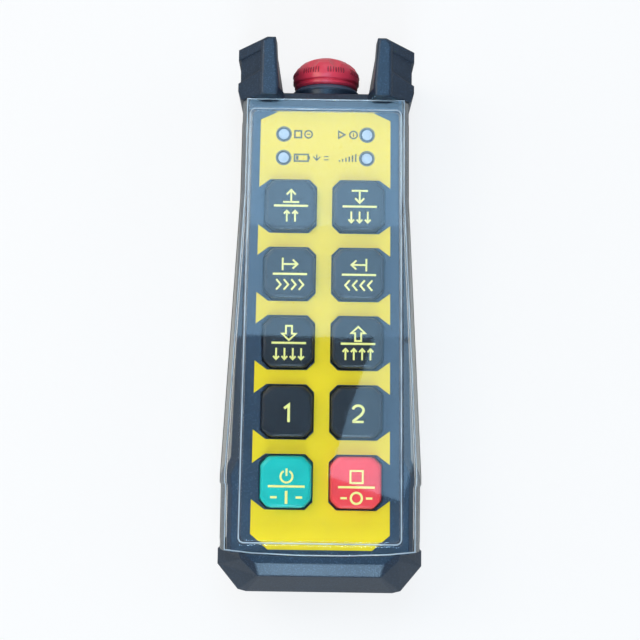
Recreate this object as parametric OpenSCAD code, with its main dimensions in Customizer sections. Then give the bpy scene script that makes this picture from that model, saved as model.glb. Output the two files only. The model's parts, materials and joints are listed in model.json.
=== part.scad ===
// Handheld crane radio remote: lying on its back, face up (+Z), ears and stop button towards +Y.
// The origin is the middle of the plan outline, on the plane that the handset rests on.

/* [Outline lengths] */
// Length of the solid bumper at the lower end
bumper_len = 14.3; // [12:0.1:18]
// Length of the hips between the bumper and the side ribs
hip_len = 22.2; // [18:0.1:26]
// Length of the small rib on each hip
rib_len = 2.5; // [2:0.1:4]
// Length of the flare from the hips to the grip
flare_len = 6; // [4:0.1:9]
// Length of the face between the overlay's top and the start of the ears
face_margin = 4.7; // [4:0.1:6]
// Length of the head between the start of the ears and the head wall's outer face
head_len = 3.4; // [2.5:0.1:4]
// Length of the ears beyond the head wall
ear_len = 16.6; // [14:0.1:20]

/* [Widths] */
// Width of the grip at the ears
grip_w_top = 54.6; // [53:0.2:57]
// Width of the grip where its taper starts
grip_w_mid = 55; // [54:0.2:58]
// Width of the grip at the flare
grip_w_low = 60; // [58:0.2:61]
// Width of the hips
hip_w = 64; // [62:0.2:66]
// Width over the side ribs
rib_w = 64.8; // [63:0.2:67]
// Width of the bumper
bumper_w = 68.8; // [67.6:0.2:72]
// Width over the ears
ear_w = 60; // [58:0.5:64]
// Gap between the ears at their tips
ear_gap = 34.4; // [32:0.1:36]
// Gap between the ears at the head wall
ear_root_gap = 29.8; // [28.6:0.1:30.6]

/* [Heights] */
// Height of the front face above the rest plane
face_z = 38; // [37:0.5:42]
// Height of the parting line and of the stop button's axis
split_z = 20; // [19.5:0.25:20.5]
// Height of the ear ridges
ear_z = 44; // [42:0.5:48]
// Height that the bumper stands above the front face
bumper_rise = 1.2; // [0.9:0.1:1.6]
// Height of the head wall's front edge below the foot of the side slopes
shoulder_under = 0.4; // [0.3:0.1:6]

/* [Housing] */
// Wall of the housing's sides
wall = 2.5; // [2:0.1:2.8]
// Wall of the front face and the back
face_wall = 2.6; // [2.2:0.1:2.8]
// Width of the slope along the front edges
edge_slope_w = 2.8; // [2:0.1:3.4]
// Height of the slope along the front edges
edge_slope_h = 4.6; // [3.6:0.1:5.4]
// Width of the slope along the back edges
back_slope_w = 6.2; // [5:0.1:7]
// Height of the slope along the back edges
back_slope_h = 6; // [5:0.1:7]
// Width of the flat ridge on each ear
ridge_w = 5; // [4.4:0.1:5.6]
// Depth of the panel sunk in each ear's outer side
ear_panel_depth = 0.8; // [0.3:0.1:1]

/* [Keys] */
// Distance between key rows
key_pitch = 23; // [22.6:0.1:24]
// Distance between the two key columns
key_column_gap = 22.9; // [22.6:0.1:23.4]
// Width and height of a key cap
key_size = 16.8; // [16:0.1:17]
// Chamfer of a key cap's corners
key_chamfer = 2.7; // [2.2:0.1:3.2]
// Height of the motion keys above the front face
key_rise = 3.2; // [2.6:0.1:3.4]
// Height of the bottom row's keys above the front face
key_rise_low = 3.9; // [3.4:0.1:4.1]
// Travel of a key
key_travel = 1.2; // [0.8:0.1:1.3]
// Clearance round a key in its opening
key_gap = 0.35; // [0.25:0.05:0.5]
// Distance of the lowest key row's centre from the bumper
key_row_start = 22.7; // [21.5:0.1:24]

/* [Face label] */
// Length of the printed overlay above the top key row's centre
label_top_len = 32.3; // [31:0.1:34]
// Width of the overlay near its top
label_w_top = 43.8; // [43:0.2:45]
// Width of the overlay near its bottom
label_w_low = 45.8; // [45:0.2:47]
// Thickness of the overlay
label_t = 0.25; // [0.2:0.05:0.4]
// Height of a key's cut-out in the overlay
cutout_h = 18.3; // [18:0.1:19]
// Width of the overlay's strip between the key columns
strip_w = 5.1; // [4.6:0.1:5.4]

/* [Indicators] */
// Diameter of an indicator lens
lens_d = 3.6; // [3:0.1:4]
// Distance between the two lens columns
lens_column_gap = 28.1; // [27:0.1:29]
// Distance between the two lens rows
lens_row_gap = 8.1; // [7.5:0.1:9]
// Distance of the first lens row from the overlay's top
lens_from_top = 7.6; // [7:0.1:9]

/* [Stop button] */
// Largest radius of the mushroom head
stop_r = 11.6; // [11:0.1:11.9]
// Height of the mushroom head
stop_h = 11.6; // [11:0.1:12.4]
// Radius of the round boss under the head
boss_r = 11.7; // [11.5:0.1:12.4]
// Length of the boss beyond the head wall
boss_len = 2.5; // [2:0.1:3]
// Travel from latched to released
stop_travel = 4; // [3:0.1:4]
// Radius of the collar's threaded tube
collar_r = 7.9; // [7.6:0.1:8.2]
// Radius of the head's neck
neck_r = 6.2; // [5.8:0.1:6.3]
// Radius of the stem
stem_r = 3; // [2.6:0.1:3.2]

/* [Protective sleeve] */
// Wall of the clear sleeve
sleeve_wall = 0.8; // [0.6:0.1:1]
// Clearance between the sleeve and the body
sleeve_gap = 0.2; // [0.15:0.05:0.3]
// Height that the front window stands above the sleeve
window_rise = 4.3; // [4.1:0.1:5]
// Height that the side panels stand out
side_rise = 0.5; // [0.3:0.1:0.7]
// Length by which the sleeve's lower end bows out at the middle of the face
sleeve_bow = 1.5; // [0.8:0.1:2]
// Width of the front window at its top
window_w_top = 51; // [49:0.2:51.4]
// Width of the front window at its bottom
window_w_low = 53.4; // [52:0.2:55]

/* [Electronics] */
// Thickness of the circuit board
board_t = 1.6; // [1:0.1:1.6]
// Height of the board's upper side
board_z = 26; // [25.8:0.1:26.4]
// Height of a push switch with its actuator
switch_h = 4.3; // [4:0.1:4.5]
// Thickness of the keypad mat
mat_t = 1; // [0.6:0.1:1.2]

/* [Batteries] */
// Diameter of a cell
cell_d = 14.2; // [13.5:0.1:14.5]
// Length of a cell with its cap
cell_len = 50.5; // [49:0.1:50.5]
// Clear length of the battery bay
bay_len = 58; // [57:0.1:60]
// Distance of the battery bay from the bumper
bay_from_bumper = 8.2; // [7.8:0.1:9]

/* [Hidden] */

// One overrun for all cuts, a running fit, and the usual clearance between pieces
over = 0.5;
fit = 0.05;
loose = 0.2;
row_count = 5;

// Stations along the handset
body_len = key_row_start + (row_count - 1) * key_pitch + label_top_len + face_margin;
overall_len = bumper_len + body_len + head_len + ear_len;
y_end = -overall_len / 2;
y_bumper = y_end + bumper_len;
y_rib = y_bumper + hip_len;
y_flare = y_rib + rib_len + flare_len;
y_shoulder = y_bumper + body_len;
grip_len = y_shoulder - y_flare;
y_head = y_shoulder + head_len;
y_tip = y_head + ear_len;
taper_share = 0.73;
y_taper = y_flare + grip_len * taper_share;
rib_ramp = 0.8;

// Housing: heights, and the slope on the front of the head
back_z = sleeve_wall + sleeve_gap;
slope_foot_z = face_z - edge_slope_h;
face_in_z = face_z - face_wall;
back_in_z = back_z + face_wall;
shoulder_z = slope_foot_z - shoulder_under;
head_slope_len = 6;
head_wall = 2.8;
form_run = over;
cavity_run = 4 * over;
cavity_y0 = y_bumper + wall;
cavity_y1 = y_head - head_wall;

// Bumper: the bow shaped end, as offsets from its corners
bumper_side_len = 5.2;
bumper_tip_share = 0.797;
bumper_corner = 2.8;
bumper_knee_z = 24;
bumper_face_w = 50;
bumper_face_in = 10;
bumper_face_corner = 2.6;
bumper_bevel_h = 1.8;
bumper_bevel_len = 3.5;
bumper_back_in = 5.5;
bumper_back_z = 6;

// Ears
ear_foot = 1.1;
ear_foot_len = 3;
ear_drop = 2.7;
ear_peak_w = 2.9;
ear_facet_h = 8;
ear_lean = 1;
ear_tip_lean = -0.3;
ear_fillet = 2.4;
ear_front_fillet = 0.8;
ridge_in = 0.3;
ridge_root_x = ear_root_gap / 2 + ear_lean + ridge_in;
ridge_tip_x = ear_gap / 2 + ear_tip_lean + ridge_in;
ridge_out_x = ear_gap / 2 + ridge_w;
ridge_swell = 0.2;
ridge_round_w = 1;
ridge_round_h = 1;
ridge_angles = [0, 30, 60, 80];
ear_back_in = 4;
ear_back_z = 7;
ear_panel_from = 4.4;
ear_panel_fall = 3.2;
ear_panel_len = 7;

// Keys
key_x = key_column_gap / 2;
flange_lip = 1;
flange_t = 1.1;
flange_z = face_in_z - loose;
flange_size = key_size + 2 * flange_lip;
opening_size = key_size + 2 * key_gap;
switch_body = 6;
actuator_r = 1.75;
actuator_h = 0.8;
push_r = 2.4;
push_z = board_z + switch_h + key_travel + fit;
key_round = [[1.1, 0], [0.35, 0.3], [0, 1]];
corner_soft = 0.6;
function row_y(row) = y_bumper + key_row_start + (row_count - row) * key_pitch;

// Overlay
label_gap = 0.6;
label_y0 = y_bumper + label_gap;
label_y1 = row_y(1) + label_top_len;
label_corner_w = 5.8;
label_corner_h_low = 5;
label_corner_h_top = 2.7;
cutout_corner = 2.6;
cutout_flare_in = 18.4;
cutout_flare_out = 26.4;
cutout_flare_drop = 5.9;

// Indicators
lens_x = lens_column_gap / 2;
lens_ys = [label_y1 - lens_from_top, label_y1 - lens_from_top - lens_row_gap];
lens_gap = 0.1;
lens_ring = 0.5;
lens_lip = 0.8;
lens_lip_t = 0.9;
led_h = 1.9;
led_w = 3.2;
led_gap = 0.4;
lens_tail_z = board_z + led_h + led_gap;

// Keypad mat and board
mat_rim = 0.9;
mat_half = key_x + flange_size / 2 + loose + mat_rim;
mat_y0 = row_y(row_count) - flange_size / 2 - loose - mat_rim;
mat_y1 = row_y(1) + flange_size / 2 + loose + mat_rim;
mat_z = push_z - mat_t / 2;
board_half = 23.6;
board_gap = 1;
board_short = 7;
board_y0 = cavity_y0 + board_gap;
board_y1 = y_shoulder - board_short;
board_notch = 11;
board_notch_y = mat_y1 + loose;
post_r = 2.8;
post_x = 19.6;
post_ys = [mat_y0 - post_r - loose, mat_y1 + post_r + loose];
board_screw_r = 1.1;
board_screw_head_r = 2.2;
board_screw_head_h = 1.5;
board_screw_len = 7;
under_z = board_z - board_t;

// Housing screws
screw_r = 1.5;
screw_hole_r = 1.7;
screw_head_r = 2.8;
screw_head_h = 2.2;
screw_recess_r = 3.3;
screw_seat_z = 7;
screw_in_x = 8.2;
screw_head_y = 6.5;
screw_foot_x = 13.9;
screw_foot_y = 4.5;
insert_r = 2.1;
insert_len = 6;
screw_places = [
    for (s = [-1, 1]) [s * (ear_w / 2 - screw_in_x), y_shoulder + screw_head_y],
    for (s = [-1, 1]) [s * (bumper_w / 2 - screw_foot_x), y_bumper - screw_foot_y]
];
drive_r = 1;
drive_depth = 1.2;

// Gasket between the shells
gasket_w = 1;
gasket_h = 1;
gasket_in = 0.7;

// Stop button, all along Y
y_boss = y_head + boss_len;
collar_h = 1.7;
collar_bevel = 1.3;
cap_gap = 0.1;
y_cap = y_boss + collar_h + cap_gap;
boss_depth = 4;
y_boss_in = y_head - boss_depth;
nut_r = 9.4;
nut_t = 2.9;
neck_depth = 9;
neck_play = 0.4;
y_ledge = y_cap - neck_depth - neck_play;
collar_tail = 3.6;
y_tail = y_ledge - collar_tail;
seal_r = 0.55;
seal_from_boss = 1.8;
cap_socket = 4;
block_half = 8.2;
block_len = 14;
block_wall = 1.2;
y_block = y_tail - fit - block_len;
spring_len = 3;
spring_r = 2.7;
spring_wire = 0.5;
spring_turns = 3.5;
bridge_t = 0.8;
bridge_half = 6.5;
bridge_w = 3.2;
carrier_r = 4.4;
carrier_len = 3;
socket_depth = 1.8;
y_bridge = y_block + block_wall + spring_len;
y_carrier = y_bridge + bridge_t;
y_stem = y_carrier + carrier_len - socket_depth;
contact_t = 1.1;
contact_w = 2;
y_contact = y_carrier + stop_travel + cap_gap;
// Profile of the head: radius shares and height shares from its rim to its crown
head_shares = [
    [0.9, 0], [0.955, 0.05], [0.955, 0.11], [0.93, 0.13], [0.93, 0.15], [1, 0.18], [1, 0.3],
    [0.985, 0.42], [0.95, 0.54], [0.88, 0.66], [0.74, 0.78], [0.56, 0.87], [0.34, 0.95], [0.12, 1]
];
lobe_count = 8;
lobe_turn = -4.6;
lobe_cut_r = 4;
lobe_cut_depth = 0.7;
lobe_r_share = 0.8;
lobe_h_share = 0.74;

// Battery bay and its cover
bay_y0 = y_bumper + bay_from_bumper;
bay_y1 = bay_y0 + bay_len;
cell_gap = 0.3;
cell_x = cell_d / 2 + cell_gap;
bay_half = 2 * cell_x;
bay_wall = 1.2;
cover_t = 2.2;
cover_lap = 2.4;
cover_end = 6.5;
cover_gap = 0.25;
ledge_z = back_z + cover_t + fit;
frame_t = 2.4;
cell_z = ledge_z + cell_gap + cell_d / 2;
bay_roof_z = cell_z + cell_d / 2 + cell_gap;
bay_seal_w = 1;
bay_seal_h = 0.8;
bay_seal_in = 0.6;
cover_screw_in = 3.5;
cover_screw_ys = [bay_y0 - cover_screw_in, bay_y1 + cover_screw_in];
cover_screw_r = 1.2;
cover_screw_head_r = 2.3;
cover_screw_head_h = 1.3;
cover_screw_len = 6;
cover_boss_r = 2.6;
cover_ribs = 7;
cover_rib_share = 0.5;
cell_end = (bay_len - cell_len) / 2;
cell_cap_r = 2.75;
cell_cap_h = 1.3;
contact_plate_t = 0.5;
contact_plate_w = 10;
contact_pip_r = 2.2;
battery_wire = 0.8;
battery_turns = 2.5;

// Sleeve
sleeve_y0 = y_bumper + sleeve_gap;
sleeve_y1 = y_shoulder - sleeve_gap;
sleeve_out = sleeve_gap + sleeve_wall;
sleeve_foot_z = slope_foot_z + sleeve_out;
sleeve_face_z = face_z + label_t + fit + sleeve_wall;
sleeve_slope_w = 1.6;
sleeve_back_w = 6;
sleeve_back_h = 6.5;
// The bow's points: share of the hips' width and share of the bow, and the slight bow at the back
bow_shares = [[0.12, 1], [0.35, 0.62]];
back_bow = 0.3;
window_from_bottom = 2.5;
window_from_top = 4.4;
window_draft = 0.7;
window_corner = 1.6;
panel_from_bottom = 3;
panel_from_top = 6;
panel_z0 = 10;
panel_z1 = 29;

// Solid through outlines of equal point count, one for each height in zs. Each outline goes up its
// right side and down its left, so its ends close with strips from side to side.
module loft(zs, outlines) {
    n = len(outlines[0]);
    m = len(zs);
    top = (m - 1) * n;
    points = [for (k = [0:m - 1]) for (p = outlines[k]) [p[0], p[1], zs[k]]];
    walls = [
        for (k = [0:m - 2]) for (i = [0:n - 1])
            let (a = k * n + i, b = k * n + (i + 1) % n)
            each [[a, a + n, b + n], [a, b + n, b]]
    ];
    strips = [for (i = [0:n / 2 - 2]) [i, i + 1, n - 2 - i, n - 1 - i]];
    lids = [for (q = strips) [top + q[3], top + q[2], top + q[1], top + q[0]]];
    polyhedron(points, concat(strips, walls, lids));
}

// Outline from its right-hand side, listed from the bottom up
function both_sides(right) = concat(right, [for (i = [len(right) - 1:-1:0]) [-right[i][0], right[i][1]]]);

// Body outline between y0 and y1, drawn in by d all along its sides
function body_outline(d, y0, y1) = both_sides([
    [hip_w / 2 - d, y0],
    [hip_w / 2 - d, y_rib - rib_ramp],
    [rib_w / 2 - d, y_rib],
    [rib_w / 2 - d, y_rib + rib_len],
    [grip_w_low / 2 - d, y_flare],
    [grip_w_mid / 2 - d, y_taper],
    [grip_w_top / 2 - d, y1]
]);

function bow_line(y0, bow) = [for (b = bow_shares) [hip_w * b[0], y0 - bow * b[1]]];

// Sleeve outline with a bowed lower end, which runs straight from the taper to the hips
function sleeve_outline(d, y0, y1, bow) = both_sides(concat(bow_line(y0, bow), [
    [hip_w / 2 + d, y0],
    [hip_w / 2 + d, y_rib - rib_ramp],
    [rib_w / 2 + d, y_rib],
    [rib_w / 2 + d, y_rib + rib_len],
    [grip_w_mid / 2 + d, y_taper],
    [grip_w_top / 2 + d, y1]
]));

function octagon(w, c) = both_sides([
    [w / 2 - c, -w / 2], [w / 2, -w / 2 + c], [w / 2, w / 2 - c], [w / 2 - c, w / 2]
]);

// Outline with each corner cut back by a length to two points, which softens it
function softened(points, cut) = [
    for (i = [0:len(points) - 1])
        let (n = len(points), p = points[i], q = points[(i + 1) % n], o = points[(i + n - 1) % n])
        each [p + (o - p) * cut / norm(o - p), p + (q - p) * cut / norm(q - p)]
];

module plate(outline, z0, z1) {
    translate([0, 0, z0]) linear_extrude(z1 - z0) polygon(outline);
}

module block(x0, x1, y0, y1, z0, z1) {
    translate([x0, y0, z0]) cube([x1 - x0, y1 - y0, z1 - z0]);
}

module along_y(y) {
    translate([0, y, split_z]) rotate([-90, 0, 0]) children();
}

// Children as drawn for the right, mirrored for the left
module on_side(s) {
    mirror([s < 0 ? 1 : 0, 0, 0]) children();
}

// Coil along +Z whose radius goes from r0 to r1
module coil(r0, r1, wire, length, turns) {
    step_count = 14;
    edge_count = 6;
    count = ceil(turns * step_count);
    points = [
        for (k = [0:count]) let (t = k / count, a = 360 * turns * t, r = r0 + (r1 - r0) * t)
            for (j = [0:edge_count - 1]) let (b = 360 * j / edge_count, q = r + wire / 2 * cos(b))
                [q * cos(a), q * sin(a), wire / 2 + (length - wire) * t + wire / 2 * sin(b)]
    ];
    walls = [
        for (k = [0:count - 1]) for (j = [0:edge_count - 1])
            let (a = k * edge_count + j, b = k * edge_count + (j + 1) % edge_count)
            each [[a, a + edge_count, b + edge_count], [a, b + edge_count, b]]
    ];
    start_cap = [for (j = [0:edge_count - 1]) j];
    end_cap = [for (j = [edge_count - 1:-1:0]) count * edge_count + j];
    polyhedron(points, concat([start_cap], walls, [end_cap]));
}

// Screw with its head below z = 0 and its shank above
module pan_screw(r, head_r, head_h, length) {
    difference() {
        union() {
            cylinder(r = r, h = length, $fn = 24);
            translate([0, 0, -head_h]) cylinder(r = head_r, h = head_h, $fn = 32);
        }
        translate([0, 0, -head_h - over]) cylinder(r = drive_r, h = drive_depth + over, $fn = 6);
    }
}

// Outline of the right ear at one height
function ear_outline(root_x, tip_x, out_x, foot, tip_y, fillet) = [
    [root_x - fillet - over, y_shoulder],
    [out_x - foot, y_shoulder],
    [out_x, y_shoulder + ear_foot_len],
    [out_x, tip_y - ear_drop],
    [ear_gap / 2 + ear_peak_w, tip_y],
    [tip_x, tip_y],
    [root_x, y_head + fillet],
    [root_x - fillet - over, y_head - over]
];

// Outline of the ridge, drawn in by d
function ridge_outline(d) = [
    [ridge_root_x + d, y_shoulder],
    [ridge_out_x - ridge_swell - d, y_shoulder],
    [ridge_out_x - d, y_shoulder + ear_foot_len],
    [ridge_out_x - ridge_swell - d, y_tip - ear_foot - d],
    [ear_gap / 2 + ear_peak_w - d / 2, y_tip - d],
    [ridge_tip_x + d, y_tip - d],
    [ridge_root_x - ridge_swell + d, y_head + ear_front_fillet],
    [ridge_root_x - ridge_swell * 0.6 + d, y_head - over]
];

// Front half of the right ear, with its outer sides drawn in by d
module ear_front(d) {
    root = ear_root_gap / 2;
    tip = ear_gap / 2;
    out = ear_w / 2 - d;
    ridge_z = ear_z - ridge_round_h - d;
    zs = concat(
        [split_z - 3 * over, ear_z - ear_facet_h - d / 2],
        [for (a = ridge_angles) ridge_z + ridge_round_h * sin(a)]
    );
    loft(zs, concat(
        [
            ear_outline(root, tip, out, ear_foot, y_tip, ear_fillet),
            ear_outline(root + ear_lean, tip + ear_tip_lean, out, ear_foot, y_tip, ear_front_fillet)
        ],
        [for (a = ridge_angles) ridge_outline(ridge_round_w * (1 - cos(a)))]
    ));
}

// Back half of the right ear
module ear_back() {
    root = ear_root_gap / 2;
    tip = ear_gap / 2;
    out = ear_w / 2;
    in = ear_back_in;
    loft([0, ear_back_z, split_z + 3 * over], [
        ear_outline(root + in / 2, tip + in / 2, out - in, 0, y_tip - in / 2, ear_fillet),
        ear_outline(root, tip, out, ear_foot, y_tip, ear_fillet),
        ear_outline(root, tip, out, ear_foot, y_tip, ear_fillet)
    ]);
}

// Slanted panel that is sunk in the outer side of the right ear
module ear_panel_cut() {
    x0 = ridge_out_x;
    x1 = ear_w / 2 + over;
    top = y_tip - ear_panel_from;
    outline = [
        [x0, top - ear_panel_len],
        [x1, top - ear_panel_len - ear_panel_fall],
        [x1, top - ear_panel_fall + ear_foot],
        [x0, top]
    ];
    difference() {
        plate(outline, split_z + ear_foot_len, ear_z);
        ear_front(ear_panel_depth);
    }
}

// Outline of the bumper: half widths and lengths of its sides, corners and end
function bumper_outline(face_half, side_half, end_half, corner_y, end_y, corner) = both_sides([
    [end_half - corner, end_y], [end_half, end_y + corner / 4], [side_half, corner_y], [face_half, y_bumper]
]);

module bumper_front() {
    side = bumper_w / 2;
    face = bumper_face_w / 2;
    end_half = side * bumper_tip_share;
    corner_y = y_bumper - bumper_side_len;
    top = face_z + bumper_rise;
    loft([split_z - 2 * over, bumper_knee_z, top - bumper_bevel_h, top], [
        bumper_outline(side, side, end_half, corner_y, y_end, bumper_corner),
        bumper_outline(side, side, end_half, corner_y, y_end, bumper_corner),
        bumper_outline(
            face + bumper_bevel_h, face + bumper_bevel_h / 2, face - bumper_bevel_len - ear_foot,
            y_bumper - bumper_face_corner, y_bumper - bumper_len / 2 - bumper_bevel_h / 2, bumper_corner / 4
        ),
        bumper_outline(
            face, face - bumper_bevel_h / 2, face - bumper_bevel_len,
            y_bumper - bumper_face_corner / 2, y_bumper - bumper_len / 2 + bumper_bevel_len, bumper_corner / 4
        )
    ]);
}

// What the sleeve's bowed end needs free above the face
module bow_cut() {
    side = [[hip_w / 2, y_bumper], [hip_w / 2, y_bumper + over]];
    plate(both_sides(concat(bow_line(y_bumper, sleeve_bow), side)), face_z, face_z + bumper_rise + over);
}

module bumper_back() {
    side = bumper_w / 2;
    in = bumper_back_in;
    end_half = side * bumper_tip_share;
    corner_y = y_bumper - bumper_side_len;
    loft([0, bumper_back_z, split_z + 2 * over], [
        bumper_outline(side - in, side - in, end_half - in, corner_y + in / 2, y_end + in, bumper_corner),
        bumper_outline(side, side, end_half, corner_y, y_end + in / 4, bumper_corner),
        bumper_outline(side, side, end_half, corner_y, y_end, bumper_corner)
    ]);
}

// The forms of both shells run past the parting line, where they are cut off.
// Solid form of the front shell between the bumper and the head wall
module body_front(d, y0, y1, z1) {
    slope = (face_z - shoulder_z) / head_slope_len;
    foot_z = slope_foot_z - d * edge_slope_h / (edge_slope_h + edge_slope_w);
    low_z = shoulder_z - d;
    loft([split_z - (d > 0 ? cavity_run : form_run), low_z, foot_z, z1], [
        body_outline(d, y0, y1),
        body_outline(d, y0, y1),
        body_outline(d, y0, y1 - (foot_z - low_z) / slope),
        body_outline(
            d + edge_slope_w * (z1 - foot_z) / edge_slope_h, y0, y1 - (z1 - low_z) / slope
        )
    ]);
}

module body_back(d, y0, y1, z0) {
    knee_z = back_z + back_slope_h;
    loft([z0, knee_z, split_z + (d > 0 ? cavity_run : form_run)], [
        body_outline(d + back_slope_w * (knee_z - z0) / back_slope_h, y0, y1),
        body_outline(d, y0, y1),
        body_outline(d, y0, y1)
    ]);
}

// Everything on the stop button's axis that is cut from the two shells
module stop_bore() {
    along_y(y_boss_in - over) cylinder(r = collar_r + loose, h = y_boss - y_boss_in + 2 * over, $fn = 64);
}

module stop_boss() {
    along_y(y_head - over) cylinder(r = boss_r, h = boss_len + over, $fn = 64);
    along_y(y_boss_in) cylinder(r = nut_r, h = boss_depth, $fn = 64);
}

// Upper or lower half space about the parting line
module half(up) {
    big = overall_len;
    z0 = up ? split_z : split_z - big;
    block(-big, big, -big, big, z0, z0 + big);
}

module key_places() {
    for (row = [1:row_count]) for (s = [-1, 1]) translate([s * key_x, row_y(row), 0]) children();
}

module front_housing() {
    color([0.13, 0.14, 0.16])
    difference() {
        union() {
            difference() {
                union() {
                    body_front(0, y_bumper - over, y_head, face_z);
                    bumper_front();
                    for (s = [-1, 1]) on_side(s) difference() {
                        ear_front(0);
                        ear_panel_cut();
                    }
                    stop_boss();
                }
                difference() {
                    body_front(wall, cavity_y0, cavity_y1, face_in_z);
                    stop_boss();
                }
            }
            for (s = [-1, 1]) for (y = post_ys) translate([s * post_x, y, board_z])
                cylinder(r = post_r, h = face_z - board_z - over, $fn = 32);
        }
        half(false);
        bow_cut();
        stop_bore();
        key_places() plate(octagon(opening_size, key_chamfer), face_in_z - over, face_z + over);
        for (s = [-1, 1]) for (y = lens_ys) translate([s * lens_x, y, face_in_z - over])
            cylinder(r = lens_d / 2 + lens_gap, h = face_wall + 2 * over, $fn = 32);
        for (s = [-1, 1]) for (y = post_ys) translate([s * post_x, y, board_z - over])
            cylinder(r = board_screw_r + fit, h = board_screw_len + over, $fn = 24);
        for (p = screw_places) translate([p[0], p[1], split_z - over])
            cylinder(r = insert_r + fit, h = insert_len + 2 * over, $fn = 32);
    }
}

module bay_frame() {
    frame = bay_half + cover_lap + bay_wall;
    y0 = bay_y0 - cover_end;
    y1 = bay_y1 + cover_end;
    block(-frame, frame, y0 - bay_wall, y1 + bay_wall, back_in_z - over, ledge_z + frame_t);
    block(
        -bay_half - bay_wall, bay_half + bay_wall, bay_y0 - bay_wall, bay_y1 + bay_wall,
        ledge_z, bay_roof_z + bay_wall
    );
    for (y = cover_screw_ys) translate([0, y, ledge_z])
        cylinder(r = cover_boss_r, h = cover_screw_len + bay_wall, $fn = 32);
}

// The cover's outline, larger by d
function cover_outline(d) = both_sides([
    [bay_half + cover_lap - bay_wall + d, bay_y0 - cover_end - d],
    [bay_half + cover_lap + d, bay_y0 - cover_end + bay_wall - d],
    [bay_half + cover_lap + d, bay_y1 + cover_end - bay_wall + d],
    [bay_half + cover_lap - bay_wall + d, bay_y1 + cover_end + d]
]);

module bay_seal(w0, w1, z0, z1) {
    difference() {
        block(-bay_half - w1, bay_half + w1, bay_y0 - w1, bay_y1 + w1, z0, z1);
        block(-bay_half - w0, bay_half + w0, bay_y0 - w0, bay_y1 + w0, z0 - over, z1 + over);
    }
}

module rear_housing() {
    color([0.11, 0.12, 0.14])
    difference() {
        union() {
            difference() {
                union() {
                    body_back(0, y_bumper - over, y_head, back_z);
                    bumper_back();
                    for (s = [-1, 1]) on_side(s) ear_back();
                    stop_boss();
                }
                difference() {
                    body_back(wall, cavity_y0, cavity_y1, back_in_z);
                    stop_boss();
                }
            }
            bay_frame();
        }
        half(true);
        stop_bore();
        plate(cover_outline(cover_gap), back_z - over, ledge_z);
        block(-bay_half, bay_half, bay_y0, bay_y1, back_z, bay_roof_z);
        bay_seal(bay_seal_in - fit, bay_seal_in + bay_seal_w + fit, back_z, ledge_z + bay_seal_h);
        for (y = cover_screw_ys) translate([0, y, back_z])
            cylinder(r = cover_screw_r + fit, h = ledge_z - back_z + cover_screw_len, $fn = 24);
        for (p = screw_places) translate([p[0], p[1], -over]) {
            cylinder(r = screw_hole_r, h = split_z + 2 * over, $fn = 32);
            cylinder(r = screw_recess_r, h = screw_seat_z + over, $fn = 32);
        }
        gasket_ring(fit, split_z - gasket_h, split_z + over);
    }
}

// Closed cord that follows the housing's rim, wider by d on both sides
module gasket_ring(d, z0, z1) {
    in = wall - gasket_in;
    y0 = cavity_y0 - gasket_in;
    y1 = cavity_y1 + gasket_in;
    difference() {
        plate(body_outline(in - gasket_w - d, y0 - gasket_w - d, y1 + gasket_w + d), z0, z1);
        plate(body_outline(in + d, y0 + d, y1 - d), z0 - over, z1 + over);
    }
}

module housing_gasket() {
    color([0.05, 0.05, 0.05])
    difference() {
        gasket_ring(0, split_z - gasket_h + fit, split_z - fit);
        along_y(y_boss_in) cylinder(r = collar_r + loose, h = y_boss - y_boss_in, $fn = 64);
    }
}

module housing_screws() {
    color([0.7, 0.7, 0.72])
    for (p = screw_places) translate([p[0], p[1], screw_seat_z])
        pan_screw(screw_r, screw_head_r, screw_head_h, split_z + insert_len - screw_seat_z);
}

module screw_inserts() {
    color([0.8, 0.65, 0.3])
    for (p = screw_places) translate([p[0], p[1], split_z + fit]) difference() {
        cylinder(r = insert_r, h = insert_len, $fn = 32);
        translate([0, 0, -over]) cylinder(r = screw_r + fit, h = insert_len + 2 * over, $fn = 32);
    }
}

module face_label() {
    low = label_w_low / 2;
    top = label_w_top / 2;
    flare_y = cutout_h / 2 - cutout_flare_drop;
    right = both_sides([
        [low - label_corner_w, label_y0],
        [low, label_y0 + label_corner_h_low],
        [top, label_y1 - label_corner_h_top],
        [top - label_corner_w, label_y1]
    ]);
    cutout = [
        [strip_w / 2 + cutout_corner, -cutout_h / 2],
        [cutout_flare_in, -cutout_h / 2],
        [cutout_flare_out, -flare_y],
        [cutout_flare_out, flare_y],
        [cutout_flare_in, cutout_h / 2],
        [strip_w / 2 + cutout_corner, cutout_h / 2],
        [strip_w / 2, cutout_h / 2 - cutout_corner],
        [strip_w / 2, -cutout_h / 2 + cutout_corner]
    ];
    color([0.96, 0.85, 0.1])
    difference() {
        plate(right, face_z, face_z + label_t);
        for (row = [1:row_count]) for (s = [-1, 1]) translate([0, row_y(row), 0]) on_side(s)
            plate(cutout, face_z - over, face_z + label_t + over);
        for (s = [-1, 1]) for (y = lens_ys) translate([s * lens_x, y, face_z - over])
            cylinder(r = lens_d / 2 + lens_ring, h = label_t + 2 * over, $fn = 32);
    }
}

module indicator_lenses() {
    color([0.8, 0.85, 0.95])
    for (s = [-1, 1]) for (y = lens_ys) translate([s * lens_x, y, 0]) {
        translate([0, 0, lens_tail_z]) cylinder(r = lens_d / 2, h = face_z + label_t - lens_tail_z, $fn = 32);
        translate([0, 0, face_in_z - fit - lens_lip_t])
            cylinder(r = lens_d / 2 + lens_lip, h = lens_lip_t, $fn = 32);
    }
}

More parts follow.
